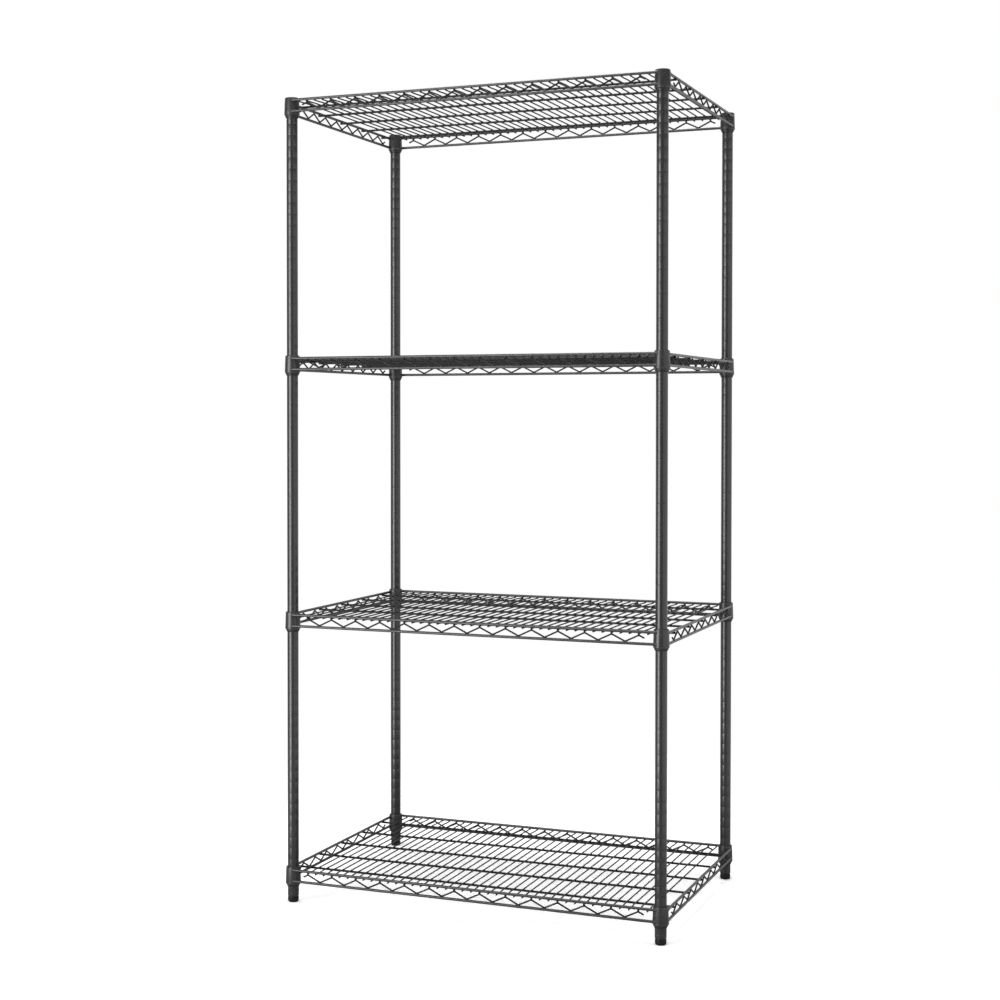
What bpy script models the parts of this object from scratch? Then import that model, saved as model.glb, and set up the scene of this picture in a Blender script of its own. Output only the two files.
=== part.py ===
"""Four-tier wire shelving rack: posts, welded wire shelves, slip sleeves and levelling feet.

Metres, +Z up. The origin is on the floor, in the middle of the four feet.
X runs along the shelves, left to right. Y runs from the front to the back.
"""
import math

import bmesh
import bpy
from mathutils import Matrix, Vector

# ---------------------------------------------------------------- driving dimensions
POST_SPACING_X = 0.870          # post axis to post axis, along the shelf
POST_SPACING_Y = 0.566          # post axis to post axis, front to back
SHELF_COUNT = 4
SHELF_SPACING = 0.5842          # 23 notches of one inch
LOWEST_COLLAR_TOP = 0.081       # top of the bottom shelf's collars above the floor
CLEARANCE = 0.0003              # gap between pieces that touch
ROUND_SIDES = 12                # sides of every turned piece
SHARP_ANGLE = math.radians(40.0)  # edges of turned pieces bent more than this are shaded sharp

POST_RADIUS = 0.0127            # one-inch tube
POST_BORE = 0.0115
POST_BOTTOM = 0.014
POST_SEAM = 0.930               # where the upper half stands on the lower half
POST_TOP = 1.832
SPIGOT_LENGTH = 0.026           # solid coupling of the lower half, inside the upper half
INSERT_HEIGHT = 0.016           # threaded insert that closes the post's lower end

CAP_TOP = 1.835
CAP_PLUG_LENGTH = 0.016
CAP_PLUG_WALL = 0.0015
CAP_CROWN = 0.0025              # width of the cap's sloping edge
CAP_CROWN_DROP = 0.0012

STEM_RADIUS = 0.0040            # M8 screw of the levelling foot
STEM_BOTTOM = 0.0063
STEM_TOP = 0.044
STEM_TIP = 0.0010               # bevel of the screw's tip
FOOT_RADIUS = 0.0125
FOOT_EDGE = 0.0022              # bevel of the foot's lower edge
FOOT_SHOULDER = 0.0010          # bevel of the foot's upper edge

COLLAR_TOP_RADIUS = 0.0164      # the collar and its sleeve widen downward, as a wedge
COLLAR_FOOT_RADIUS = 0.0176
COLLAR_RIM_RADIUS = 0.0163
COLLAR_BODY = 0.0375
COLLAR_HEIGHT = 0.0395
COLLAR_BORE_TOP = 0.0145
COLLAR_BORE_FOOT = 0.0157

SLEEVE_RISE = 0.0010            # the sleeve shows this much above the collar
SLEEVE_HEIGHT = 0.0460
SLEEVE_CHAMFER = 0.0040
SLEEVE_TIP_RADIUS = 0.0137
SLEEVE_SLIT = 0.0016

RAIL_DIAMETER = 0.0062
RAIL_DROP = 0.0060              # top rail's centre below the collar's top
TRUSS_HEIGHT = 0.0250           # top rail's centre to bottom rail's centre
RAIL_OFFSET = 0.0135            # rails run this far outside the line of the post axes
SIDE_RAIL_DROP = 0.0018         # side top rails hang a little under the front top rail
ZIGZAG_DIAMETER = 0.0038
ZIGZAG_PITCH = 0.060
ZIGZAG_PEAK_DROP = 0.0075       # zigzag peak's centre below the top rail's centre
SIDE_PEAK_DROP = 0.0072
ZIGZAG_VALLEY_RISE = 0.0035     # zigzag valley's centre above the bottom rail's centre
FRONT_ZIGZAG_PEAKS = 14
SIDE_ZIGZAG_PITCH = 0.05875     # half the rib pitch, so a valley lies under every rib
SIDE_ZIGZAG_VALLEYS = 9
ZIGZAG_TAIL = 0.012             # free end past the last bend, measured along the rail

CROSS_WIRE_COUNT = 42
CROSS_WIRE_PITCH = 0.020
CROSS_WIRE_DIAMETER = 0.0032
CROSS_WIRE_DROP = 0.0028        # cross wire's centre below the front top rail's centre
RIB_COUNT = 5
RIB_PITCH = 0.1175
RIB_DIAMETER = 0.0050
RIB_DROP = 0.0066
RIB_OVERHANG = 0.0030           # rib end past the side rail's centre

# A square bar of this side has the section area of a round wire of diameter 1.
SQUARE_SIDE = math.sqrt(math.pi) / 2.0
# A four-sided tube of this radius has the section area of a round wire of diameter 1.
DIAMOND_RADIUS = math.sqrt(math.pi / 2.0) / 2.0

# ---------------------------------------------------------------- colours
EPOXY_GREY = (0.060, 0.060, 0.062)
PLASTIC_BLACK = (0.012, 0.012, 0.013)
SCREW_STEEL = (0.45, 0.45, 0.46)


def clear_scene():
    for obj in list(bpy.data.objects):
        bpy.data.objects.remove(obj, do_unlink=True)


def new_collection(name):
    collection = bpy.data.collections.new(name)
    bpy.context.scene.collection.children.link(collection)
    return collection


def make_material(name, colour, roughness, metallic):
    material = bpy.data.materials.new(name)
    material.use_nodes = True
    shader = material.node_tree.nodes["Principled BSDF"]
    shader.inputs["Base Color"].default_value = (*colour, 1.0)
    shader.inputs["Roughness"].default_value = roughness
    shader.inputs["Metallic"].default_value = metallic
    material.diffuse_color = (*colour, 1.0)
    return material


# ---------------------------------------------------------------- mesh builders
def evaluated_mesh(obj, name):
    """Take the finished mesh of an object and remove the object."""
    depsgraph = bpy.context.evaluated_depsgraph_get()
    mesh = bpy.data.meshes.new_from_object(obj.evaluated_get(depsgraph))
    mesh.name = name
    bpy.data.objects.remove(obj, do_unlink=True)
    return mesh


def turned_mesh(name, profile, closed):
    """Turn a profile of (radius, height) points about Z with a Screw modifier."""
    mesh = bpy.data.meshes.new(name + "_profile")
    points = [(radius, 0.0, height) for radius, height in profile]
    edges = [(i, i + 1) for i in range(len(points) - 1)]
    if closed:
        edges.append((len(points) - 1, 0))
    mesh.from_pydata(points, edges, [])
    obj = bpy.data.objects.new(name + "_profile", mesh)
    bpy.context.scene.collection.objects.link(obj)
    screw = obj.modifiers.new("turn", "SCREW")
    screw.steps = ROUND_SIDES
    screw.render_steps = ROUND_SIDES
    screw.use_merge_vertices = True
    screw.merge_threshold = 0.00001
    bpy.context.view_layer.update()
    turned = evaluated_mesh(obj, name)
    turned.shade_smooth()
    turned.set_sharp_from_angle(angle=SHARP_ANGLE)
    return turned


def bar_mesh(name, bars):
    """Square bars, each given by its centre and its three side lengths."""
    bm = bmesh.new()
    for centre, sides in bars:
        matrix = Matrix.Translation(centre) @ Matrix.Diagonal((*sides, 1.0))
        bmesh.ops.create_cube(bm, size=1.0, matrix=matrix)
    mesh = bpy.data.meshes.new(name)
    bm.to_mesh(mesh)
    bm.free()
    return mesh


def zigzag_mesh(name, points, diameter):
    """A bent wire through the given points, with a four-sided section."""
    curve = bpy.data.curves.new(name + "_path", "CURVE")
    curve.dimensions = "3D"
    spline = curve.splines.new("POLY")
    spline.points.add(len(points) - 1)
    for spline_point, point in zip(spline.points, points):
        spline_point.co = (*point, 1.0)
    curve.bevel_depth = diameter * DIAMOND_RADIUS
    curve.bevel_resolution = 0
    curve.use_fill_caps = True
    obj = bpy.data.objects.new(name + "_path", curve)
    bpy.context.scene.collection.objects.link(obj)
    bpy.context.view_layer.update()
    mesh = evaluated_mesh(obj, name)
    bm = bmesh.new()
    bm.from_mesh(mesh)
    bmesh.ops.remove_doubles(bm, verts=bm.verts, dist=0.00001)
    bm.to_mesh(mesh)
    bm.free()
    return mesh


def merged_mesh(name, parts):
    """Put separate meshes, each with its own matrix, into one mesh."""
    bm = bmesh.new()
    for mesh, matrix in parts:
        copy = mesh.copy()
        copy.transform(matrix)
        bm.from_mesh(copy)
        bpy.data.meshes.remove(copy)
    mesh = bpy.data.meshes.new(name)
    bm.to_mesh(mesh)
    bm.free()
    return mesh


def boolean_mesh(name, base, tool, operation, cutters):
    """Join a tool mesh to a base mesh, or cut it away, with the exact solver."""
    base_object = bpy.data.objects.new(name + "_base", base)
    tool_object = bpy.data.objects.new(name + "_tool", tool)
    tool_object.hide_render = True
    tool_object.display_type = "WIRE"
    cutters.objects.link(base_object)
    cutters.objects.link(tool_object)
    modifier = base_object.modifiers.new("join", "BOOLEAN")
    modifier.operation = operation
    modifier.solver = "EXACT"
    modifier.object = tool_object
    bpy.context.view_layer.update()
    mesh = evaluated_mesh(base_object, name)
    bpy.data.objects.remove(tool_object, do_unlink=True)
    return mesh


# ---------------------------------------------------------------- posts, caps and feet
def lower_post_mesh():
    spigot = POST_BORE - CLEARANCE
    hole = STEM_RADIUS + CLEARANCE
    profile = [
        (0.0, POST_SEAM + SPIGOT_LENGTH), (spigot, POST_SEAM + SPIGOT_LENGTH),
        (spigot, POST_SEAM), (POST_RADIUS, POST_SEAM),
        (POST_RADIUS, POST_BOTTOM), (hole, POST_BOTTOM),
        (hole, POST_BOTTOM + INSERT_HEIGHT), (POST_BORE, POST_BOTTOM + INSERT_HEIGHT),
        (POST_BORE, POST_SEAM - SPIGOT_LENGTH), (0.0, POST_SEAM - SPIGOT_LENGTH),
    ]
    return turned_mesh("lower_post", profile, closed=False)


def upper_post_mesh():
    foot = POST_SEAM + CLEARANCE
    profile = [(POST_RADIUS, POST_TOP), (POST_RADIUS, foot), (POST_BORE, foot), (POST_BORE, POST_TOP)]
    return turned_mesh("upper_post", profile, closed=True)


def cap_mesh():
    rim = POST_TOP + CLEARANCE
    plug = POST_BORE - CLEARANCE
    bore = plug - CAP_PLUG_WALL
    profile = [
        (0.0, CAP_TOP), (POST_RADIUS - CAP_CROWN, CAP_TOP), (POST_RADIUS, CAP_TOP - CAP_CROWN_DROP),
        (POST_RADIUS, rim), (plug, rim), (plug, rim - CAP_PLUG_LENGTH),
        (bore, rim - CAP_PLUG_LENGTH), (bore, rim), (0.0, rim),
    ]
    return turned_mesh("post_cap", profile, closed=False)


def foot_stem_mesh():
    profile = [
        (0.0, STEM_TOP), (STEM_RADIUS - STEM_TIP, STEM_TOP), (STEM_RADIUS, STEM_TOP - STEM_TIP),
        (STEM_RADIUS, STEM_BOTTOM), (0.0, STEM_BOTTOM),
    ]
    return turned_mesh("foot_stem", profile, closed=False)


def foot_base_mesh():
    """Plastic foot with a blind socket for the screw."""
    top = POST_BOTTOM - CLEARANCE
    shoulder = FOOT_RADIUS - FOOT_SHOULDER
    socket = STEM_RADIUS + CLEARANCE
    socket_end = STEM_BOTTOM - CLEARANCE
    profile = [
        (0.0, socket_end), (socket, socket_end), (socket, top), (shoulder, top),
        (FOOT_RADIUS, top - FOOT_SHOULDER), (FOOT_RADIUS, FOOT_EDGE),
        (FOOT_RADIUS - FOOT_EDGE, 0.0), (0.0, 0.0),
    ]
    return turned_mesh("foot_base", profile, closed=False)


# ---------------------------------------------------------------- collars and sleeves
def collar_mesh():
    """Welded corner collar, with its top at height 0."""
    profile = [
        (COLLAR_TOP_RADIUS, 0.0), (COLLAR_FOOT_RADIUS, -COLLAR_BODY),
        (COLLAR_RIM_RADIUS, -COLLAR_HEIGHT), (COLLAR_BORE_FOOT, -COLLAR_HEIGHT),
        (COLLAR_BORE_TOP, 0.0),
    ]
    return turned_mesh("collar", profile, closed=True)


def sleeve_mesh(cutters):
    """Tapered plastic slip sleeve, slit down one side, with the collar's top at height 0."""
    bore = POST_RADIUS + CLEARANCE
    slope = (COLLAR_BORE_FOOT - COLLAR_BORE_TOP) / COLLAR_HEIGHT
    top = SLEEVE_RISE
    chamfer = top - SLEEVE_HEIGHT + SLEEVE_CHAMFER
    top_radius = COLLAR_BORE_TOP - CLEARANCE - slope * top
    foot_radius = COLLAR_BORE_FOOT - CLEARANCE
    profile = [
        (top_radius, top), (foot_radius, -COLLAR_HEIGHT), (foot_radius, chamfer),
        (SLEEVE_TIP_RADIUS, top - SLEEVE_HEIGHT), (bore, top - SLEEVE_HEIGHT), (bore, top),
    ]
    ring = turned_mesh("sleeve_ring", profile, closed=True)
    cut_centre = (-POST_RADIUS, 0.0, 0.5 * top - 0.5 * SLEEVE_HEIGHT)
    cut_sides = (POST_RADIUS, SLEEVE_SLIT, 2.0 * SLEEVE_HEIGHT)
    slit = bar_mesh("sleeve_slit", [(cut_centre, cut_sides)])
    return boolean_mesh("slip_sleeve", ring, slit, "DIFFERENCE", cutters)


# ---------------------------------------------------------------- shelf wire work
# A shelf's meshes have the top of its collars at height 0.
def rail_end_gap(radius):
    """How far from a post's axis a rail ends when its inner edge stops just clear of that radius."""
    inner_edge = RAIL_OFFSET - 0.5 * RAIL_DIAMETER * SQUARE_SIDE
    return math.sqrt(radius ** 2 - inner_edge ** 2) + CLEARANCE


def deck_wires_mesh(cutters):
    """Front and back top rails, joined by the thin cross wires."""
    rail_side = RAIL_DIAMETER * SQUARE_SIDE
    wire_side = CROSS_WIRE_DIAMETER * SQUARE_SIDE
    rail_y = 0.5 * POST_SPACING_Y + RAIL_OFFSET
    mean_radius = 0.5 * (COLLAR_TOP_RADIUS + COLLAR_FOOT_RADIUS)
    rail_length = POST_SPACING_X - 2.0 * rail_end_gap(mean_radius)
    rails = [((0.0, side * rail_y, -RAIL_DROP), (rail_length, rail_side, rail_side)) for side in (-1, 1)]
    first = -0.5 * (CROSS_WIRE_COUNT - 1) * CROSS_WIRE_PITCH
    height = -RAIL_DROP - CROSS_WIRE_DROP
    wires = []
    for i in range(CROSS_WIRE_COUNT):
        centre = (first + i * CROSS_WIRE_PITCH, 0.0, height)
        wires.append((centre, (wire_side, 2.0 * rail_y, wire_side)))
    rail_mesh = bar_mesh("deck_rails", rails)
    wire_mesh = bar_mesh("cross_wires", wires)
    return boolean_mesh("deck_wires", rail_mesh, wire_mesh, "UNION", cutters)


def ribs_mesh(cutters):
    """Left and right top rails, joined by the ribs that carry the cross wires."""
    rail_side = RAIL_DIAMETER * SQUARE_SIDE
    rib_side = RIB_DIAMETER * SQUARE_SIDE
    rail_x = 0.5 * POST_SPACING_X + RAIL_OFFSET
    mean_radius = 0.5 * (COLLAR_TOP_RADIUS + COLLAR_FOOT_RADIUS)
    rail_length = POST_SPACING_Y - 2.0 * rail_end_gap(mean_radius)
    rail_z = -RAIL_DROP - SIDE_RAIL_DROP
    rails = [((side * rail_x, 0.0, rail_z), (rail_side, rail_length, rail_side)) for side in (-1, 1)]
    first = -0.5 * (RIB_COUNT - 1) * RIB_PITCH
    ribs = []
    for i in range(RIB_COUNT):
        centre = (0.0, first + i * RIB_PITCH, -RAIL_DROP - RIB_DROP)
        ribs.append((centre, (2.0 * (rail_x + RIB_OVERHANG), rib_side, rib_side)))
    rail_mesh = bar_mesh("side_rails", rails)
    rib_mesh = bar_mesh("rib_bars", ribs)
    return boolean_mesh("ribs", rail_mesh, rib_mesh, "UNION", cutters)


def zigzag_points(pitch, bends, start_high, high, low):
    """Bends half a pitch apart, alternately high and low, with a free end past each end."""
    half_pitch = 0.5 * pitch
    first_bend = -0.5 * (bends - 1) * half_pitch
    step = abs(high - low) * ZIGZAG_TAIL / half_pitch
    tail = -step if start_high else step
    points = []
    for i in range(bends):
        is_high = start_high == (i % 2 == 0)
        points.append((first_bend + i * half_pitch, 0.0, high if is_high else low))
    end_height = points[0][2] + tail
    start = (points[0][0] - ZIGZAG_TAIL, 0.0, end_height)
    end = (points[-1][0] + ZIGZAG_TAIL, 0.0, end_height)
    return [start] + points + [end]


def long_truss_mesh(cutters):
    """Front truss along X: bottom rail, zigzag wire and the two corner collars."""
    rail_side = RAIL_DIAMETER * SQUARE_SIDE
    rail_z = -RAIL_DROP - TRUSS_HEIGHT
    share = (RAIL_DROP + TRUSS_HEIGHT) / COLLAR_HEIGHT
    bore_at_rail = COLLAR_BORE_TOP + share * (COLLAR_BORE_FOOT - COLLAR_BORE_TOP)
    rail_length = POST_SPACING_X - 2.0 * rail_end_gap(bore_at_rail)
    rail = bar_mesh("bottom_rail", [((0.0, 0.0, rail_z), (rail_length, rail_side, rail_side))])
    points = zigzag_points(ZIGZAG_PITCH, 2 * FRONT_ZIGZAG_PEAKS - 1, True,
                           -RAIL_DROP - ZIGZAG_PEAK_DROP, rail_z + ZIGZAG_VALLEY_RISE)
    zigzag = zigzag_mesh("long_zigzag", points, ZIGZAG_DIAMETER)
    collar = collar_mesh()
    parts = [(zigzag, Matrix.Identity(4))]
    for side in (-1, 1):
        parts.append((collar, Matrix.Translation((side * 0.5 * POST_SPACING_X, RAIL_OFFSET, 0.0))))
    return boolean_mesh("long_truss", rail, merged_mesh("long_truss_parts", parts), "UNION", cutters)


def short_truss_mesh(cutters):
    """Side truss, built along X: bottom rail and zigzag wire."""
    rail_side = RAIL_DIAMETER * SQUARE_SIDE
    rail_z = -RAIL_DROP - TRUSS_HEIGHT
    rail_length = POST_SPACING_Y - 2.0 * rail_end_gap(COLLAR_FOOT_RADIUS)
    rail = bar_mesh("side_bottom_rail", [((0.0, 0.0, rail_z), (rail_length, rail_side, rail_side))])
    points = zigzag_points(SIDE_ZIGZAG_PITCH, 2 * SIDE_ZIGZAG_VALLEYS - 1, False,
                           -RAIL_DROP - SIDE_PEAK_DROP, rail_z + ZIGZAG_VALLEY_RISE)
    zigzag = zigzag_mesh("short_zigzag", points, ZIGZAG_DIAMETER)
    return boolean_mesh("short_truss", rail, zigzag, "UNION", cutters)


# ---------------------------------------------------------------- assembly
def place(collection, name, mesh, material, location=(0.0, 0.0, 0.0), turn=0.0, parent=None):
    obj = bpy.data.objects.new(name, mesh)
    if not mesh.materials:
        mesh.materials.append(material)
    obj.location = location
    obj.rotation_euler = (0.0, 0.0, turn)
    obj.parent = parent
    collection.objects.link(obj)
    return obj


def place_shelf(collection, number, meshes, materials):
    """One welded shelf under an empty at the top of its collars."""
    name = "shelf_%d" % number
    holder = bpy.data.objects.new(name, None)
    holder.empty_display_size = 0.05
    holder.location = (0.0, 0.0, LOWEST_COLLAR_TOP + (number - 1) * SHELF_SPACING)
    collection.objects.link(holder)
    long_y = 0.5 * POST_SPACING_Y + RAIL_OFFSET
    short_x = 0.5 * POST_SPACING_X + RAIL_OFFSET
    grey = materials["epoxy"]
    quarter = 0.5 * math.pi
    long = meshes["long_truss"]
    short = meshes["short_truss"]
    place(collection, name + "_deck_wires", meshes["deck_wires"], grey, parent=holder)
    place(collection, name + "_ribs", meshes["ribs"], grey, parent=holder)
    place(collection, name + "_front_truss", long, grey, (0.0, -long_y, 0.0), 0.0, holder)
    place(collection, name + "_back_truss", long, grey, (0.0, long_y, 0.0), math.pi, holder)
    place(collection, name + "_left_truss", short, grey, (-short_x, 0.0, 0.0), -quarter, holder)
    place(collection, name + "_right_truss", short, grey, (short_x, 0.0, 0.0), quarter, holder)


def place_corner(collection, corner, location, meshes, materials):
    """Everything that belongs to one post: its halves, cap, foot and slip sleeves."""
    x, y = location
    base = (x, y, 0.0)
    place(collection, corner + "_lower_post", meshes["lower_post"], materials["epoxy"], base)
    place(collection, corner + "_upper_post", meshes["upper_post"], materials["epoxy"], base)
    place(collection, corner + "_post_cap", meshes["post_cap"], materials["plastic"], base)
    place(collection, corner + "_foot_stem", meshes["foot_stem"], materials["screw"], base)
    place(collection, corner + "_foot_base", meshes["foot_base"], materials["plastic"], base)
    inward = math.pi if x < 0 else 0.0
    for number in range(1, SHELF_COUNT + 1):
        height = LOWEST_COLLAR_TOP + (number - 1) * SHELF_SPACING
        name = "%s_sleeve_%d" % (corner, number)
        place(collection, name, meshes["sleeve"], materials["plastic"], (x, y, height), inward)


def build():
    clear_scene()
    rack = new_collection("wire_shelving_rack")
    cutters = new_collection("cutters")
    materials = {
        "epoxy": make_material("grey_epoxy", EPOXY_GREY, 0.42, 0.0),
        "plastic": make_material("black_plastic", PLASTIC_BLACK, 0.50, 0.0),
        "screw": make_material("screw_steel", SCREW_STEEL, 0.35, 1.0),
    }
    meshes = {
        "lower_post": lower_post_mesh(),
        "upper_post": upper_post_mesh(),
        "post_cap": cap_mesh(),
        "foot_stem": foot_stem_mesh(),
        "foot_base": foot_base_mesh(),
        "sleeve": sleeve_mesh(cutters),
        "deck_wires": deck_wires_mesh(cutters),
        "ribs": ribs_mesh(cutters),
        "long_truss": long_truss_mesh(cutters),
        "short_truss": short_truss_mesh(cutters),
    }
    for mesh in meshes.values():
        mesh.materials.clear()
    corners = {
        "front_left": (-1, -1), "front_right": (1, -1),
        "back_left": (-1, 1), "back_right": (1, 1),
    }
    for corner, (side, depth) in corners.items():
        location = Vector((side * 0.5 * POST_SPACING_X, depth * 0.5 * POST_SPACING_Y))
        place_corner(rack, corner, location, meshes, materials)
    for number in range(1, SHELF_COUNT + 1):
        place_shelf(rack, number, meshes, materials)


build()
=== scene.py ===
"""Looks of the four-tier wire shelving rack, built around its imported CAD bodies.

Metres, +Z up, in the CAD frame. Every CAD node is replaced by one detailed piece of the same size.
"""
import math
import random

import bpy
from mathutils import Matrix, Vector


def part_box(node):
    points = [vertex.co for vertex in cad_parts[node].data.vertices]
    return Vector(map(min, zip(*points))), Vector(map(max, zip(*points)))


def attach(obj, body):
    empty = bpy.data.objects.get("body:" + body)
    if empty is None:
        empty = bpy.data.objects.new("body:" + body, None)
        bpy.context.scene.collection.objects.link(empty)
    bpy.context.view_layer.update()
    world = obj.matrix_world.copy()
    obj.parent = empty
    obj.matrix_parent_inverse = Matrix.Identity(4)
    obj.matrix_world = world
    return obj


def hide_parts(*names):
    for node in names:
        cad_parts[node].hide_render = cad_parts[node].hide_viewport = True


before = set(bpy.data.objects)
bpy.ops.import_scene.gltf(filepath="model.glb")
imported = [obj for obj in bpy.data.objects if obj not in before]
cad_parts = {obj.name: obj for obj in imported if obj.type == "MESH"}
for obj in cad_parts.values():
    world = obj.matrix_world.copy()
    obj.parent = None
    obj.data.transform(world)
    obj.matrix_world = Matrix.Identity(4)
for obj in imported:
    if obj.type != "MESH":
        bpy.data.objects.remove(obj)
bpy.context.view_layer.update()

# ---------------------------------------------------------------- sizes the rack is made to
CORNERS = ("front_left", "front_right", "back_left", "back_right")
SHELVES = (1, 2, 3, 4)

ROUND_SIDES = 48                # posts, collars and feet
RAIL_SIDES = 16
RIB_SIDES = 14
WIRE_SIDES = 10

POST_RADIUS = 0.0127
POST_BORE = 0.0115
SPIGOT_RADIUS = 0.0112
SPIGOT_LENGTH = 0.026
INSERT_HEIGHT = 0.016
INSERT_BORE = 0.0043
GROOVE_PITCH = 0.0254
GROOVE_PHASE = 0.0220           # height of one groove, the others follow at the pitch
GROOVE_HALF_WIDTH = 0.0008
GROOVE_DEPTH = 0.00017
GROOVE_SHAPE = (0.0, 0.22, 0.72, 1.0, 0.72, 0.22, 0.0)
GROOVE_MARGIN = 0.004           # no groove this close to a tube's end

RAIL_RADIUS = 0.0031
TOP_RAIL_Z = -0.0060            # heights of a shelf's wires are below the tops of its collars
SIDE_RAIL_Z = -0.0078
BOTTOM_RAIL_Z = -0.0310
RAIL_OUT = 0.0135               # the rails run outside the line of the post axes
ZIGZAG_RADIUS = 0.0019
LONG_HALF_PITCH = 0.030
SIDE_HALF_PITCH = 0.029375      # a quarter of the rib pitch
LONG_PEAK_Z = -0.0132
SIDE_PEAK_Z = -0.0122
VALLEY_Z = -0.0275
LONG_PEAKS = 14
SIDE_VALLEYS = 9
ZIGZAG_TAIL = 0.012
BEND_RADIUS = 0.0045

WIRE_RADIUS = 0.0016
WIRE_COUNT = 42
WIRE_PITCH = 0.020
DECK_Z = -0.0090
WIRE_END_Z = -0.0102            # under the front and back rails
WIRE_STUB = 0.0042
DIP_START = 0.246
DIP_END = 0.289
RIB_RADIUS = 0.0025
RIB_COUNT = 5
RIB_PITCH = 0.1175
RIB_Z = -0.0126
RIB_STUB = 0.0040

COLLAR_HEIGHT = 0.0395
COLLAR_WALL = 0.0155            # the coped rail ends stay outside this radius
COLLAR_FACE = 0.0160
RAIL_END = 0.0058               # rails end this far short of the post axis
RAIL_COPE = 0.0100


# ---------------------------------------------------------------- mesh building
class Shape:
    """Collects lofted surfaces and turns them into one mesh."""

    def __init__(self):
        self.points = []
        self.faces = []
        self.materials = []
        self.wear = []

    def add(self, points, wear):
        first = len(self.points)
        self.points.extend(points)
        self.wear.extend([wear] * len(points) if isinstance(wear, (int, float)) else wear)
        return first

    def face(self, indices, material):
        self.faces.append(indices)
        self.materials.append(material)

    def loft(self, rings, loop=False, caps=True, material=0, wear=0.0):
        """Skin between closed rings with equal point counts, capped at both ends or joined round."""
        count = len(rings[0])
        amounts = wear if isinstance(wear, (list, tuple)) else [wear] * len(rings)
        starts = [self.add(ring, amount) for ring, amount in zip(rings, amounts)]
        pairs = list(zip(starts, starts[1:] + starts[:1])) if loop else list(zip(starts, starts[1:]))
        for low, high in pairs:
            for i in range(count):
                j = (i + 1) % count
                self.face((low + i, low + j, high + j, high + i), material)
        if caps and not loop:
            self.face(tuple(starts[0] + i for i in reversed(range(count))), material)
            self.face(tuple(starts[-1] + i for i in range(count)), material)

    def mesh(self, name, materials, sharp_angle=38.0):
        mesh = bpy.data.meshes.new(name)
        mesh.from_pydata([tuple(p) for p in self.points], [], self.faces)
        for material in materials:
            mesh.materials.append(material)
        mesh.polygons.foreach_set("material_index", self.materials)
        attribute = mesh.attributes.new("wear", "FLOAT", "POINT")
        attribute.data.foreach_set("value", self.wear)
        mesh.shade_smooth()
        mesh.set_sharp_from_angle(angle=math.radians(sharp_angle))
        mesh.validate()
        mesh.update()
        return mesh


def around(centre, radius, angle, height):
    """A point at a radius and an angle from an upright axis."""
    return Vector((centre[0] + radius * math.cos(angle), centre[1] + radius * math.sin(angle), height))


def circle(radius, height, sides, centre=(0.0, 0.0)):
    step = 2.0 * math.pi / sides
    return [
        around(centre, radius, i * step, height)
        for i in range(sides)
    ]


def rounded(corners, closed=False, steps=4):
    """A profile of (radius, height) points from corners (radius, height, rounding)."""
    points = []
    count = len(corners)
    for i, (radius, height, rounding) in enumerate(corners):
        here = Vector((radius, height))
        if rounding == 0.0 or (not closed and i in (0, count - 1)):
            points.append(here)
            continue
        start = here + rounding * (Vector(corners[i - 1][:2]) - here).normalized()
        end = here + rounding * (Vector(corners[(i + 1) % count][:2]) - here).normalized()
        for step in range(steps + 1):
            t = step / steps
            points.append(start * (1 - t) ** 2 + here * 2 * t * (1 - t) + end * t ** 2)
    return points


def turned(shape, profile, sides=ROUND_SIDES, centre=(0.0, 0.0), base=0.0, material=0, wear=0.0):
    """A solid of revolution; an open profile is capped flat, a closed one is a ring."""
    rings = [circle(p[0], base + p[1], sides, centre) for p in profile]
    shape.loft(rings, material=material, wear=wear)


def turned_ring(shape, profile, sides=ROUND_SIDES, centre=(0.0, 0.0), base=0.0, material=0, wear=0.0):
    rings = [circle(p[0], base + p[1], sides, centre) for p in profile]
    shape.loft(rings, loop=True, material=material, wear=wear)


def tube(shape, path, radius, sides, rounding=0.35, material=0, wear=0.0):
    """A round wire along a path in one plane or nearly so, with its cut ends eased."""
    path = [Vector(p) for p in path]
    count = len(path)
    first = (path[1] - path[0]).normalized()
    last = (path[-1] - path[-2]).normalized()
    ease = rounding * radius
    stations = [(path[0], first, radius - ease), (path[0] + ease * first, first, radius)]
    for i in range(1, count - 1):
        before = (path[i] - path[i - 1]).normalized()
        after = (path[i + 1] - path[i]).normalized()
        stations.append((path[i], (before + after).normalized(), radius))
    stations += [(path[-1] - ease * last, last, radius), (path[-1], last, radius - ease)]
    helper = Vector((0.0, 0.0, 1.0)) if abs(first.z) < 0.9 else Vector((1.0, 0.0, 0.0))
    side = first.cross(helper).normalized()
    rings = []
    for centre, tangent, size in stations:
        side = (side - tangent * side.dot(tangent)).normalized()
        up = side.cross(tangent)
        ring = []
        for i in range(sides):
            angle = 2.0 * math.pi * i / sides
            ring.append(centre + size * (math.cos(angle) * side + math.sin(angle) * up))
        rings.append(ring)
    shape.loft(rings, material=material, wear=wear)


def nugget(shape, centre, radii, sides=8, bands=4, material=0, wear=0.6):
    """The small swelling of metal where two wires are welded."""
    rings = []
    for band in range(bands + 1):
        latitude = math.pi * (0.08 + 0.84 * band / bands) - 0.5 * math.pi
        flat, height = math.cos(latitude), math.sin(latitude)
        rings.append([
            Vector((
                centre[0] + radii[0] * flat * math.cos(2.0 * math.pi * i / sides),
                centre[1] + radii[1] * flat * math.sin(2.0 * math.pi * i / sides),
                centre[2] + radii[2] * height,
            ))
            for i in range(sides)
        ])
    shape.loft(rings, material=material, wear=wear)


# ---------------------------------------------------------------- materials
def node(tree, kind, location, **settings):
    new = tree.nodes.new(kind)
    new.location = location
    for name, value in settings.items():
        setattr(new, name, value)
    return new


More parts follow.
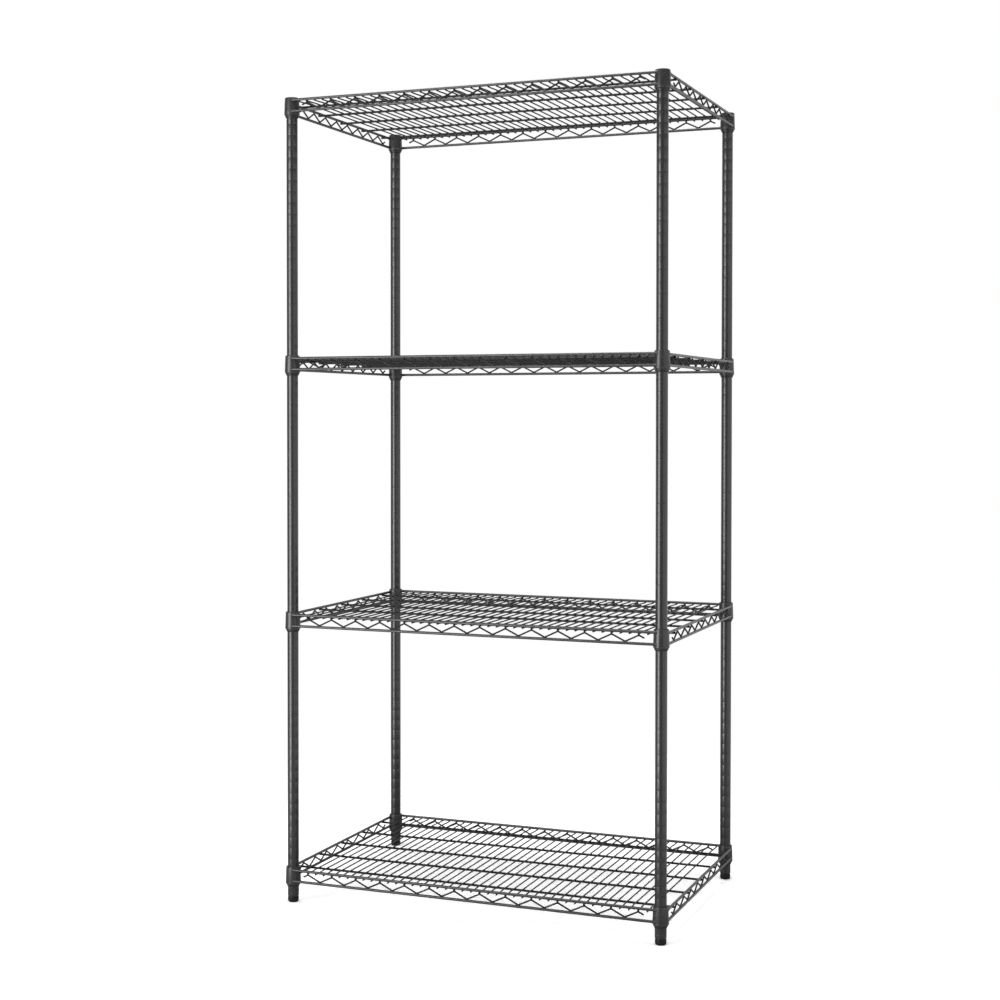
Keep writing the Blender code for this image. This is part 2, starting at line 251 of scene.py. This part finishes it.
def noise(tree, source, scale, detail, location):
    texture = node(tree, "ShaderNodeTexNoise", location)
    texture.inputs["Scale"].default_value = scale
    texture.inputs["Detail"].default_value = detail
    tree.links.new(source, texture.inputs["Vector"])
    return texture.outputs["Fac"]


def spread(tree, source, low, high, location, start=0.3, end=0.7):
    """Maps the middle of a noise to a range of values."""
    ramp = node(tree, "ShaderNodeMapRange", location)
    ramp.inputs["From Min"].default_value = start
    ramp.inputs["From Max"].default_value = end
    ramp.inputs["To Min"].default_value = low
    ramp.inputs["To Max"].default_value = high
    tree.links.new(source, ramp.inputs["Value"])
    return ramp.outputs["Result"]


def mix_colour(tree, factor, first, second, location):
    mix = node(tree, "ShaderNodeMix", location, data_type="RGBA")
    tree.links.new(factor, mix.inputs["Factor"])
    for socket, value in ((mix.inputs[6], first), (mix.inputs[7], second)):
        if isinstance(value, tuple):
            socket.default_value = (*value, 1.0)
        else:
            tree.links.new(value, socket)
    return mix.outputs[2]


def multiply(tree, first, second, location):
    product = node(tree, "ShaderNodeMath", location, operation="MULTIPLY", use_clamp=True)
    tree.links.new(first, product.inputs[0])
    tree.links.new(second, product.inputs[1])
    return product.outputs[0]


def coated(name, dark, light, worn, roughness, grain_scale, grain_depth, coat=0.0, coat_roughness=0.1,
           metallic=0.0, specular=0.5):
    """A finish with mottled colour, uneven gloss, a fine surface grain and rubbed edges."""
    material = bpy.data.materials.new(name)
    material.use_nodes = True
    tree = material.node_tree
    shader = tree.nodes["Principled BSDF"]
    place = node(tree, "ShaderNodeTexCoord", (-1300, 0)).outputs["Object"]
    cloud = spread(tree, noise(tree, place, 14.0, 4.0, (-1100, 300)), 0.0, 1.0, (-900, 300))
    body = mix_colour(tree, cloud, dark, light, (-650, 300))
    rubbed = node(tree, "ShaderNodeAttribute", (-1100, -650), attribute_name="wear").outputs["Fac"]
    specks = noise(tree, place, 420.0, 3.0, (-1100, -400))
    scuffs = spread(tree, specks, 0.0, 1.0, (-900, -400), 0.45, 0.62)
    wear = multiply(tree, rubbed, scuffs, (-650, -450))
    tree.links.new(mix_colour(tree, wear, body, worn, (-300, 300)), shader.inputs["Base Color"])
    patches = noise(tree, place, 90.0, 4.0, (-1100, 50))
    gloss = spread(tree, patches, roughness - 0.05, roughness + 0.06, (-900, 50))
    tree.links.new(gloss, shader.inputs["Roughness"])
    bump = node(tree, "ShaderNodeBump", (-300, -200))
    bump.inputs["Strength"].default_value = 0.6
    bump.inputs["Distance"].default_value = grain_depth
    tree.links.new(noise(tree, place, grain_scale, 2.0, (-1100, -150)), bump.inputs["Height"])
    tree.links.new(bump.outputs["Normal"], shader.inputs["Normal"])
    shader.inputs["Metallic"].default_value = metallic
    shader.inputs["Specular IOR Level"].default_value = specular
    shader.inputs["Coat Weight"].default_value = coat
    shader.inputs["Coat Roughness"].default_value = coat_roughness
    return material


def make_materials():
    return {
        "post": coated(
            "post_epoxy_grey", (0.019, 0.019, 0.020), (0.026, 0.026, 0.027), (0.05, 0.05, 0.051),
            roughness=0.30, grain_scale=240.0, grain_depth=0.00001, coat=0.3, coat_roughness=0.20,
        ),
        "shelf": coated(
            "shelf_epoxy_grey", (0.019, 0.019, 0.020), (0.026, 0.026, 0.027), (0.05, 0.05, 0.051),
            roughness=0.33, grain_scale=700.0, grain_depth=0.00004, coat=0.2, coat_roughness=0.22,
        ),
        # darker copy of the shelf epoxy on the thin wires: painted shade, as they carry the same coating
        # as the rails
        "wire": coated(
            "wire_epoxy_painted_shade", (0.006, 0.006, 0.0063), (0.009, 0.009, 0.0094), (0.022, 0.022, 0.023),
            roughness=0.38, grain_scale=700.0, grain_depth=0.00003, specular=0.25,
        ),
        "cap": coated(
            "cap_plastic_black", (0.006, 0.006, 0.0065), (0.010, 0.010, 0.0105), (0.04, 0.04, 0.04),
            roughness=0.45, grain_scale=1500.0, grain_depth=0.00003,
        ),
        "sleeve": coated(
            "sleeve_plastic_black", (0.010, 0.010, 0.011), (0.015, 0.015, 0.016), (0.03, 0.03, 0.03),
            roughness=0.42, grain_scale=1300.0, grain_depth=0.00002,
        ),
        "foot": coated(
            "foot_plastic_black", (0.005, 0.005, 0.0055), (0.009, 0.009, 0.0095), (0.05, 0.05, 0.05),
            roughness=0.40, grain_scale=1200.0, grain_depth=0.00003, specular=0.3,
        ),
        "screw": coated(
            "screw_zinc", (0.42, 0.43, 0.45), (0.55, 0.55, 0.57), (0.30, 0.30, 0.29),
            roughness=0.28, grain_scale=900.0, grain_depth=0.00002, metallic=1.0,
        ),
    }


# ---------------------------------------------------------------- posts, caps and feet
def grooves(bottom, top):
    """Profile points of the rolled grooves between two heights."""
    points = []
    number = math.ceil((bottom + GROOVE_MARGIN - GROOVE_PHASE) / GROOVE_PITCH)
    height = GROOVE_PHASE + number * GROOVE_PITCH
    while height < top - GROOVE_MARGIN:
        for i, depth in enumerate(GROOVE_SHAPE):
            offset = GROOVE_HALF_WIDTH * (i - 3) / 3.0
            points.append((POST_RADIUS - GROOVE_DEPTH * depth, height + offset, 0.0))
        height += GROOVE_PITCH
    return points


def post_wear(profile):
    """Rubbed paint on the shoulders of the grooves and at the tube's ends."""
    wear = []
    for i, point in enumerate(profile):
        before = profile[max(i - 1, 0)]
        after = profile[min(i + 1, len(profile) - 1)]
        bend = abs((after[0] - point[0]) - (point[0] - before[0]))
        wear.append(0.35 if point[0] > POST_RADIUS - 0.0003 and bend > 0.00004 else 0.1)
    return wear


def lower_post(materials, centre, low, seam):
    """Lower half of a post: insert at its foot, grooved tube, and the spigot on its seam."""
    shape = Shape()
    corners = [
        (INSERT_BORE, low + INSERT_HEIGHT, 0.0), (INSERT_BORE, low, 0.0004),
        (POST_RADIUS, low, 0.0006),
    ]
    corners += grooves(low, seam)
    corners += [
        (POST_RADIUS, seam, 0.0005), (SPIGOT_RADIUS, seam, 0.0),
        (SPIGOT_RADIUS, seam + SPIGOT_LENGTH, 0.0008), (0.002, seam + SPIGOT_LENGTH, 0.0),
    ]
    profile = rounded(corners)
    turned(shape, profile, centre=centre, wear=post_wear(profile))
    return shape.mesh("lower_post", [materials["post"]])


def upper_post(materials, centre, low, high):
    """Upper half of a post, an open tube."""
    shape = Shape()
    corners = [(POST_BORE, low, 0.0003), (POST_RADIUS, low, 0.0005)] + grooves(low, high)
    corners += [(POST_RADIUS, high, 0.0004), (POST_BORE, high, 0.0003)]
    profile = rounded(corners, closed=True)
    turned_ring(shape, profile, centre=centre, wear=post_wear(profile))
    return shape.mesh("upper_post", [materials["post"]])


def post_cap(materials, centre, low, high):
    shape = Shape()
    rim = high - 0.0027
    corners = [
        (0.0006, rim + 0.0004, 0.0), (0.0094, rim + 0.0004, 0.0005),
        (0.0097, low, 0.0003), (0.0109, low, 0.0006),
        (0.0112, rim, 0.0), (POST_RADIUS, rim, 0.0002), (POST_RADIUS, high - 0.0010, 0.0007),
        (0.0098, high, 0.0020), (0.0006, high, 0.0),
    ]
    turned(shape, rounded(corners), centre=centre, wear=0.3)
    for i in range(6):
        angle = math.pi * (i + 0.5) / 3.0
        nugget(shape, around(centre, 0.0110, angle, rim - 0.008), (0.0006, 0.0006, 0.0055), wear=0.2)
    return shape.mesh("post_cap", [materials["cap"]])


def foot_screw(materials, centre, low, high):
    """An M8 screw with a real helical thread."""
    shape = Shape()
    pitch, crest, root, sides = 0.00125, 0.0040, 0.00335, 24
    rings = []
    steps = int((high - low) / pitch * 8)
    for k in range(steps + 1):
        height = low + (high - low) * k / steps
        runout = min(1.0, (high - height) / 0.0012, max(0.0, (height - low) / 0.0008))
        ring = []
        for i in range(sides):
            turn = i / sides
            phase = (height / pitch - turn) % 1.0
            ridge = 1.0 - abs(2.0 * phase - 1.0)
            radius = root + (crest - root) * min(1.0, 1.25 * ridge) * runout
            angle = 2.0 * math.pi * turn
            ring.append(around(centre, radius, angle, height))
        rings.append(ring)
    shape.loft(rings, wear=0.2)
    return shape.mesh("foot_screw", [materials["screw"]], sharp_angle=60.0)


def foot_base(materials, centre, low, high):
    """Plastic foot with shallow finger flats round its side and a recess under it."""
    shape = Shape()
    sides, flats = 72, 12
    corners = [
        (INSERT_BORE, low + 0.0062, 0.0), (INSERT_BORE, high, 0.0003), (0.0108, high, 0.0004),
        (0.0110, high - 0.0016, 0.0004), (0.0124, high - 0.0024, 0.0008), (0.0125, low + 0.0030, 0.0022),
        (0.0104, low, 0.0010), (0.0082, low, 0.0003),
        (0.0078, low + 0.0012, 0.0004), (0.0010, low + 0.0012, 0.0),
    ]
    rings = []
    wear = []
    for radius, height in rounded(corners):
        on_side = radius > 0.0119 and height < high - 0.002
        ring = []
        for i in range(sides):
            angle = 2.0 * math.pi * i / sides
            flat = 0.5 - 0.5 * math.cos(flats * angle)
            size = radius - (0.00035 * flat if on_side else 0.0)
            ring.append(around(centre, size, angle, height))
        rings.append(ring)
        wear.append(1.0 if height < low + 0.001 else 0.2)
    shape.loft(rings, wear=wear)
    return shape.mesh("foot_base", [materials["foot"]])


def sleeve(materials, centre, low, high, inward):
    """Tapered slip sleeve, slit down the inner side, with recessed panels."""
    shape = Shape()
    bore = POST_RADIUS + 0.0003
    corners = [
        (bore, low, 0.0003), (0.0137, low, 0.0006), (0.0154, low + 0.0040, 0.0006),
        (0.0154, low + 0.0055, 0.0), (0.0153, low + 0.0100, 0.0), (0.0152, low + 0.0106, 0.0),
        (0.0145, high - 0.0116, 0.0), (0.01442, high - 0.0110, 0.0),
        (0.01415, high, 0.0004), (bore, high, 0.0003),
    ]
    profile = rounded(corners, closed=True)
    steps = 60
    half_slit = 0.0008 / POST_RADIUS
    rings = []
    for k in range(steps + 1):
        angle = inward + half_slit + (2.0 * math.pi - 2.0 * half_slit) * k / steps
        spoke = math.sin(2.0 * (angle - inward))
        panel = min(1.0, max(0.0, 4.0 * (abs(spoke) - 0.45)))
        ring = []
        for radius, height in profile:
            inside = low + 0.0103 < height < high - 0.0113 and radius > bore + 0.0005
            size = radius - (0.00035 * panel if inside else 0.0)
            ring.append(around(centre, size, angle, height))
        rings.append(ring)
    shape.loft(rings, wear=0.15)
    return shape.mesh("sleeve", [materials["sleeve"]])


# ---------------------------------------------------------------- shelves
def collar(shape, x, y, material):
    """Tapered corner collar with a rolled lower rim."""
    corners = [
        (0.0145, 0.0, 0.0004), (0.0163, 0.0, 0.0007),
        (0.01745, -0.0338, 0.0004), (0.01725, -0.0345, 0.0003),
        (0.0176, -0.0352, 0.0004), (0.0176, -0.0375, 0.0008),
        (0.0163, -COLLAR_HEIGHT, 0.0005), (0.0157, -COLLAR_HEIGHT, 0.0002),
    ]
    profile = rounded(corners, closed=True)
    wear = [0.9 if point[1] > -0.001 or point[1] < -0.0345 else 0.15 for point in profile]
    turned_ring(shape, profile, centre=(x, y), material=material, wear=wear)


def rail(shape, span, cross, height, along_x):
    """A rail between two collars, its ends coped to the collar walls and run out in a weld."""
    def to_point(along, out):
        return Vector((along, out, height)) if along_x else Vector((out, along, height))

    end = span - RAIL_END
    near = [end - RAIL_COPE * i / 10.0 for i in range(11)]
    stations = [-a for a in near] + [0.0] + list(reversed(near))
    path = [to_point(a, cross) for a in stations]
    first = len(shape.points)
    tube(shape, path, RAIL_RADIUS, RAIL_SIDES, rounding=0.5, material=1)
    axis_cross = math.copysign(abs(cross) - RAIL_OUT, cross)
    for i in range(first, len(shape.points)):
        point = shape.points[i]
        for side in (-1, 1):
            axis = to_point(side * span, axis_cross)
            spoke = Vector((point.x - axis.x, point.y - axis.y, 0.0))
            if spoke.length < COLLAR_WALL:
                spoke = spoke.normalized() * COLLAR_WALL
                shape.points[i] = Vector((axis.x + spoke.x, axis.y + spoke.y, point.z))
    face = math.sqrt(COLLAR_FACE ** 2 - RAIL_END ** 2)
    for side in (-1, 1):
        centre = to_point(side * (span - RAIL_END), axis_cross + math.copysign(face, cross))
        nugget(shape, centre, (0.0022, 0.0022, 0.0036), sides=14, bands=8, material=1, wear=0.8)


def smooth_step(t):
    t = min(1.0, max(0.0, t))
    return t * t * (3.0 - 2.0 * t)


def deck_wires(materials, post_x, post_y):
    """Front and back top rails and the thin cross wires, which dip to pass under them."""
    shape = Shape()
    rng = random.Random(5)
    rail_y = post_y + RAIL_OUT
    for side in (-1, 1):
        rail(shape, post_x, side * rail_y, TOP_RAIL_Z, True)
    dips = [DIP_START + (DIP_END - DIP_START) * i / 8.0 for i in range(9)]
    half = [0.0, 0.12, 0.2] + dips + [rail_y + WIRE_STUB]
    stations = [-y for y in reversed(half[1:])] + half
    first = -0.5 * (WIRE_COUNT - 1) * WIRE_PITCH
    weld_z = 0.5 * (TOP_RAIL_Z - RAIL_RADIUS + WIRE_END_Z + WIRE_RADIUS)
    for i in range(WIRE_COUNT):
        x = first + i * WIRE_PITCH
        lean = rng.uniform(-0.0003, 0.0003)
        path = []
        for y in stations:
            drop = smooth_step((abs(y) - DIP_START) / (DIP_END - DIP_START))
            path.append((x + lean * y / rail_y, y, DECK_Z + (WIRE_END_Z - DECK_Z) * drop))
        tube(shape, path, WIRE_RADIUS, WIRE_SIDES)
        for side in (-1, 1):
            nugget(shape, (x + lean * side, side * rail_y, weld_z), (0.0021, 0.0024, 0.0009))
    return shape.mesh("deck_wires", [materials["wire"], materials["shelf"]])


def ribs(materials, post_x, post_y):
    """Side top rails and the five ribs that carry the cross wires."""
    shape = Shape()
    rail_x = post_x + RAIL_OUT
    for side in (-1, 1):
        rail(shape, post_y, side * rail_x, SIDE_RAIL_Z, False)
    first_wire = -0.5 * (WIRE_COUNT - 1) * WIRE_PITCH
    weld_z = 0.5 * (RIB_Z + RIB_RADIUS + DECK_Z - WIRE_RADIUS)
    for i in range(RIB_COUNT):
        y = (i - 0.5 * (RIB_COUNT - 1)) * RIB_PITCH
        reach = rail_x + RIB_STUB
        tube(shape, [(-reach, y, RIB_Z), (0.0, y, RIB_Z), (reach, y, RIB_Z)], RIB_RADIUS, RIB_SIDES)
        for k in range(WIRE_COUNT):
            nugget(shape, (first_wire + k * WIRE_PITCH, y, weld_z), (0.0021, 0.0026, 0.0009))
        for side in (-1, 1):
            nugget(shape, (side * rail_x, y, RIB_Z + RIB_RADIUS), (0.0032, 0.0034, 0.0012))
    return shape.mesh("ribs", [materials["wire"], materials["shelf"]])


def bent_path(corners, radius, steps=5):
    """A polyline with its corners rounded, for a bent wire."""
    points = [Vector(corners[0])]
    for before, here, after in zip(corners, corners[1:], corners[2:]):
        before, here, after = Vector(before), Vector(here), Vector(after)
        a, b = (before - here).normalized(), (after - here).normalized()
        half_turn = 0.5 * (math.pi - a.angle(b))
        reach = radius * math.tan(half_turn)
        start, end = here + a * reach, here + b * reach
        for step in range(steps + 1):
            t = step / steps
            points.append(start * (1 - t) ** 2 + here * 2 * t * (1 - t) + end * t ** 2)
    points.append(Vector(corners[-1]))
    return points


def zigzag(shape, half_pitch, bends, start_high, high, to_point):
    """The bent lattice wire of a truss and its welds to the bottom rail."""
    low = VALLEY_Z
    first = -0.5 * (bends - 1) * half_pitch
    corners = []
    for i in range(bends):
        is_high = start_high == (i % 2 == 0)
        corners.append((first + i * half_pitch, high if is_high else low))
    step = (high - low) * ZIGZAG_TAIL / half_pitch
    end_height = corners[0][1] + (-step if start_high else step)
    corners.insert(0, (corners[0][0] - ZIGZAG_TAIL, end_height))
    corners.append((corners[-1][0] + ZIGZAG_TAIL, end_height))
    path = bent_path([to_point(along, height) for along, height in corners], BEND_RADIUS)
    tube(shape, path, ZIGZAG_RADIUS, WIRE_SIDES)
    long_way = abs(to_point(1.0, 0.0)[0]) > 0.5
    radii = (0.0048, 0.0022, 0.0014) if long_way else (0.0022, 0.0048, 0.0014)
    for along, height in corners[1:-1]:
        if height == low:
            nugget(shape, to_point(along, BOTTOM_RAIL_Z + RAIL_RADIUS), radii, sides=12, bands=6)


def long_truss(materials, post_x, post_y, side):
    """Front or back truss: bottom rail, zigzag and the two collars at its ends."""
    shape = Shape()
    rail_y = side * (post_y + RAIL_OUT)
    rail(shape, post_x, rail_y, BOTTOM_RAIL_Z, True)
    bends = 2 * LONG_PEAKS - 1
    zigzag(shape, LONG_HALF_PITCH, bends, True, LONG_PEAK_Z, lambda a, z: Vector((a, rail_y, z)))
    for i in range(LONG_PEAKS):
        x = (2.0 * i - LONG_PEAKS + 1) * LONG_HALF_PITCH
        nugget(shape, (x, rail_y, LONG_PEAK_Z + ZIGZAG_RADIUS), (0.0026, 0.0021, 0.0010))
    for end in (-1, 1):
        collar(shape, end * post_x, side * post_y, 1)
    return shape.mesh("long_truss", [materials["wire"], materials["shelf"]])


def side_truss(materials, post_x, post_y, side):
    """Left or right truss: bottom rail and zigzag."""
    shape = Shape()
    rail_x = side * (post_x + RAIL_OUT)
    rail(shape, post_y, rail_x, BOTTOM_RAIL_Z, False)
    bends = 2 * SIDE_VALLEYS - 1
    zigzag(shape, SIDE_HALF_PITCH, bends, False, SIDE_PEAK_Z, lambda a, z: Vector((rail_x, a, z)))
    for i in range(SIDE_VALLEYS - 1):
        y = (2.0 * i - SIDE_VALLEYS + 2) * SIDE_HALF_PITCH
        nugget(shape, (rail_x, y, SIDE_PEAK_Z + ZIGZAG_RADIUS), (0.0021, 0.0034, 0.0010))
    return shape.mesh("side_truss", [materials["wire"], materials["shelf"]])


# ---------------------------------------------------------------- assembly
def show(name, mesh, body, node_name, height=0.0):
    """Puts a piece in the scene in place of its CAD node."""
    obj = bpy.data.objects.new(name, mesh)
    obj.location = (0.0, 0.0, height)
    bpy.context.scene.collection.objects.link(obj)
    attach(obj, body)
    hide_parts(node_name)
    return obj


def centre_of(node_name):
    low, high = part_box(node_name)
    return 0.5 * (low.x + high.x), 0.5 * (low.y + high.y)


def span_of(node_name):
    low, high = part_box(node_name)
    return low.z, high.z


def build_corner(corner, materials):
    """One post with its cap, levelling foot and slip sleeves."""
    lower = corner + "_lower_post"
    centre = centre_of(lower)
    low, top = span_of(lower)
    mesh = lower_post(materials, centre, low, top - SPIGOT_LENGTH)
    show(corner + "_lower_tube", mesh, "root", lower)
    upper = corner + "_upper_post"
    mesh = upper_post(materials, centre, *span_of(upper))
    show(corner + "_upper_tube", mesh, "root", upper)
    cap = corner + "_post_cap"
    mesh = post_cap(materials, centre, *span_of(cap))
    show(corner + "_cap", mesh, "root", cap)
    stem = corner + "_foot_stem"
    mesh = foot_screw(materials, centre, *span_of(stem))
    show(corner + "_screw", mesh, corner + "_foot_screw", stem)
    base = corner + "_foot_base"
    mesh = foot_base(materials, centre, *span_of(base))
    show(corner + "_foot_pad", mesh, corner + "_foot", base)
    inward = 0.0 if centre[0] < 0.0 else math.pi
    for number in SHELVES:
        ring = "%s_sleeve_%d" % (corner, number)
        mesh = sleeve(materials, centre, *span_of(ring), inward)
        show("%s_slip_sleeve_%d" % (corner, number), mesh, "root", ring)


def build_shelves(materials):
    """Four shelves of six pieces, which share six meshes."""
    post_x, post_y = (abs(v) for v in centre_of("front_left_lower_post"))
    meshes = {
        "deck_wires": deck_wires(materials, post_x, post_y),
        "ribs": ribs(materials, post_x, post_y),
        "front_truss": long_truss(materials, post_x, post_y, -1),
        "back_truss": long_truss(materials, post_x, post_y, 1),
        "left_truss": side_truss(materials, post_x, post_y, -1),
        "right_truss": side_truss(materials, post_x, post_y, 1),
    }
    for number in SHELVES:
        body = "shelf_%d" % number
        collar_top = span_of(body + "_front_truss")[1]
        for part, mesh in meshes.items():
            node_name = "%s_%s" % (body, part)
            show(node_name + "_wirework", mesh, body, node_name, collar_top)


# ---------------------------------------------------------------- stage, light and camera
CAMERA_PLACE = (1.4341, -3.8187, 1.1111)
CAMERA_YAW = 0.3863
CAMERA_PITCH = -0.0203
CAMERA_ROLL = 0.0002
CAMERA_LENS = 62.80
CAMERA_SHIFT = (0.0324, -0.0480)

FLOOR_REACH = 12.0
FLOOR_FADE_START = 0.7          # distance from the middle where the floor starts to fade
FLOOR_FADE_END = 2.0


def make_camera():
    data = bpy.data.cameras.new("camera")
    data.lens = CAMERA_LENS
    data.sensor_width = 36.0
    data.shift_x, data.shift_y = CAMERA_SHIFT
    data.clip_end = 60.0
    camera = bpy.data.objects.new("camera", data)
    turn = (
        Matrix.Rotation(CAMERA_YAW, 4, "Z")
        @ Matrix.Rotation(0.5 * math.pi + CAMERA_PITCH, 4, "X")
        @ Matrix.Rotation(CAMERA_ROLL, 4, "Z")
    )
    camera.matrix_world = Matrix.Translation(CAMERA_PLACE) @ turn
    bpy.context.scene.collection.objects.link(camera)
    bpy.context.scene.camera = camera


def soft_light(name, place, target, size, power):
    data = bpy.data.lights.new(name, "AREA")
    data.shape = "RECTANGLE"
    data.size, data.size_y = size
    data.energy = power
    lamp = bpy.data.objects.new(name, data)
    direction = Vector(target) - Vector(place)
    turn = direction.to_track_quat("-Z", "Y").to_matrix().to_4x4()
    lamp.matrix_world = Matrix.Translation(place) @ turn
    lamp.visible_camera = False
    bpy.context.scene.collection.objects.link(lamp)


def make_floor():
    """Pale floor, dimmer as a bounce light, that fades into the white surround away from the rack."""
    mesh = bpy.data.meshes.new("floor")
    signs = ((-1, -1), (1, -1), (1, 1), (-1, 1))
    mesh.from_pydata([(FLOOR_REACH * x, FLOOR_REACH * y, 0.0) for x, y in signs], [], [(0, 1, 2, 3)])
    floor = bpy.data.objects.new("floor", mesh)
    bpy.context.scene.collection.objects.link(floor)
    material = bpy.data.materials.new("pale_floor")
    material.use_nodes = True
    tree = material.node_tree
    seen = tree.nodes["Principled BSDF"]
    seen.inputs["Base Color"].default_value = (0.96, 0.96, 0.96, 1.0)
    seen.inputs["Roughness"].default_value = 0.9
    seen.inputs["Emission Color"].default_value = (1.0, 1.0, 1.0, 1.0)
    seen.inputs["Emission Strength"].default_value = 0.30
    bounce = node(tree, "ShaderNodeBsdfDiffuse", (0, -200))
    bounce.inputs["Color"].default_value = (0.40, 0.40, 0.40, 1.0)
    pale = node(tree, "ShaderNodeMixShader", (250, 0))
    path = node(tree, "ShaderNodeLightPath", (0, 300))
    tree.links.new(path.outputs["Is Camera Ray"], pale.inputs[0])
    tree.links.new(bounce.outputs[0], pale.inputs[1])
    tree.links.new(seen.outputs[0], pale.inputs[2])
    place = node(tree, "ShaderNodeTexCoord", (-900, 0)).outputs["Object"]
    distance = node(tree, "ShaderNodeVectorMath", (-700, 0), operation="LENGTH")
    tree.links.new(place, distance.inputs[0])
    fade = node(tree, "ShaderNodeMapRange", (-500, 0), interpolation_type="SMOOTHERSTEP")
    fade.inputs["From Min"].default_value = FLOOR_FADE_START
    fade.inputs["From Max"].default_value = FLOOR_FADE_END
    tree.links.new(distance.outputs["Value"], fade.inputs["Value"])
    clear = node(tree, "ShaderNodeBsdfTransparent", (250, -300))
    mix = node(tree, "ShaderNodeMixShader", (500, 0))
    tree.links.new(fade.outputs["Result"], mix.inputs[0])
    tree.links.new(pale.outputs[0], mix.inputs[1])
    tree.links.new(clear.outputs[0], mix.inputs[2])
    tree.links.new(mix.outputs[0], tree.nodes["Material Output"].inputs["Surface"])
    mesh.materials.append(material)


def make_world():
    """White to look at, dimmer as a light."""
    world = bpy.data.worlds.new("surround")
    world.use_nodes = True
    tree = world.node_tree
    surround = tree.nodes["Background"]
    surround.inputs["Color"].default_value = (1.0, 1.0, 1.0, 1.0)
    surround.inputs["Strength"].default_value = 0.2
    seen = node(tree, "ShaderNodeBackground", (0, -200))
    seen.inputs["Color"].default_value = (1.0, 1.0, 1.0, 1.0)
    seen.inputs["Strength"].default_value = 1.0
    path = node(tree, "ShaderNodeLightPath", (0, 300))
    mix = node(tree, "ShaderNodeMixShader", (250, 0))
    tree.links.new(path.outputs["Is Camera Ray"], mix.inputs[0])
    tree.links.new(surround.outputs[0], mix.inputs[1])
    tree.links.new(seen.outputs[0], mix.inputs[2])
    tree.links.new(mix.outputs[0], tree.nodes["World Output"].inputs["Surface"])
    bpy.context.scene.world = world


def make_stage():
    make_camera()
    make_floor()
    make_world()
    soft_light("key_left", (-1.92, -3.2, 0.55), (0.0, 0.0, 0.55), (2.1, 3.7), 158.0)
    soft_light("fill_right", (3.7, -0.4, 0.6), (0.0, 0.0, 0.6), (7.0, 3.8), 77.0)
    soft_light("back_right", (1.3, 4.0, 1.1), (0.0, 0.0, 0.9), (5.0, 4.0), 37.0)
    soft_light("back_left", (-3.1, 2.6, 1.1), (0.0, 0.0, 0.9), (3.0, 4.0), 30.0)
    soft_light("overhead", (0.0, -0.2, 4.2), (0.0, 0.0, 0.0), (2.4, 2.4), 160.0)
    bpy.context.scene.view_settings.view_transform = "Standard"


make_stage()
finishes = make_materials()
for corner_name in CORNERS:
    build_corner(corner_name, finishes)
build_shelves(finishes)
